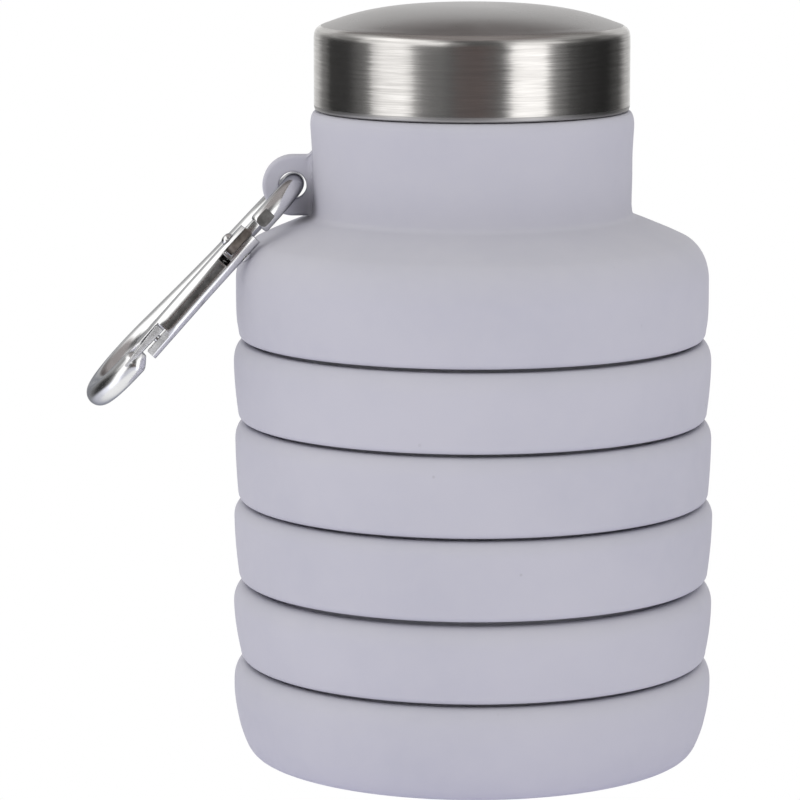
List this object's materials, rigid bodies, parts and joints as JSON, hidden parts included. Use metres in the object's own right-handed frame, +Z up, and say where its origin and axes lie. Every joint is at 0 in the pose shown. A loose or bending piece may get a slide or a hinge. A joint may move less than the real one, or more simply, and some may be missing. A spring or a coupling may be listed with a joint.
{
  "type": "collapsible water bottle",
  "caption": "Collapsible silicone water bottle, folded down, with stacked bellows rings, a screw-on brushed steel lid and a small snap hook hanging from a tab on its neck.",
  "frame": {"origin": "centre of the bottle's flat underside", "axes": "+Z up along the bottle's axis, -X towards the hanging tab and the snap hook, -Y towards the side that the hook's gate faces"},
  "size_m": [0.0974, 0.075, 0.1181],
  "materials": {
    "silicone": "matte, pale lilac grey silicone",
    "steel": "brushed round the side, satin on the domed top",
    "polished_metal": "polished",
    "white_plastic": "moulded, off-white",
    "seal": "matte, translucent white"
  },
  "bodies": {
    "base": {"base_cup": "silicone", "fold_web_5": "silicone"},
    "ring4": {"ring_4": "silicone", "fold_web_4": "silicone"},
    "ring3": {"ring_3": "silicone", "fold_web_3": "silicone"},
    "ring2": {"ring_2": "silicone", "fold_web_2": "silicone"},
    "ring1": {"ring_1": "silicone", "fold_web_1": "silicone"},
    "neck": {"neck_shoulder": "silicone", "neck_collar": "white_plastic"},
    "lid_seal": {"lid_gasket": "seal"},
    "lid": {"lid_shell": "steel", "lid_liner": "white_plastic"},
    "hook": {"carabiner_frame": "polished_metal", "gate_pivot_pin": "polished_metal"},
    "gate": {"carabiner_gate": "polished_metal", "gate_latch_pin": "polished_metal", "gate_spring": "polished_metal"}
  },
  "joints": [
    {"name": "fold_5", "type": "slide", "parent": "base", "child": "ring4", "axis": [0, 0, 1], "range_m": [0, 0.014], "deforming": ["fold_web_5"]},
    {"name": "fold_4", "type": "slide", "parent": "ring4", "child": "ring3", "axis": [0, 0, 1], "range_m": [0, 0.014], "deforming": ["fold_web_4"]},
    {"name": "fold_3", "type": "slide", "parent": "ring3", "child": "ring2", "axis": [0, 0, 1], "range_m": [0, 0.014], "deforming": ["fold_web_3"]},
    {"name": "fold_2", "type": "slide", "parent": "ring2", "child": "ring1", "axis": [0, 0, 1], "range_m": [0, 0.014], "deforming": ["fold_web_2"]},
    {"name": "fold_1", "type": "slide", "parent": "ring1", "child": "neck", "axis": [0, 0, 1], "range_m": [0, 0.014], "deforming": ["fold_web_1"]},
    {"name": "lid_lift", "type": "slide", "parent": "neck", "child": "lid_seal", "axis": [0, 0, 1], "range_m": [0, 0.018]},
    {"name": "lid_turn", "type": "hinge", "parent": "lid_seal", "child": "lid", "pos_m": [0, 0, 0.102], "axis": [0, 0, 1], "range_deg": [0, 1440]},
    {"name": "hook_swing", "type": "hinge", "parent": "neck", "child": "hook", "pos_m": [-0.02795, 0, 0.09015], "axis": [0, 1, 0], "range_deg": [0, 135]},
    {"name": "gate_open", "type": "hinge", "parent": "hook", "child": "gate", "pos_m": [-0.03604, -0.01024, 0.0815], "axis": [0.7302, 0, -0.6833], "range_deg": [0, 28], "stiffness_Nm_per_rad": 0.02, "springref_deg": -28.65}
  ],
  "couplings": [
    {"joint": "lid_turn", "follows": "lid_lift", "rad_per_m": 1396.3}
  ]
}
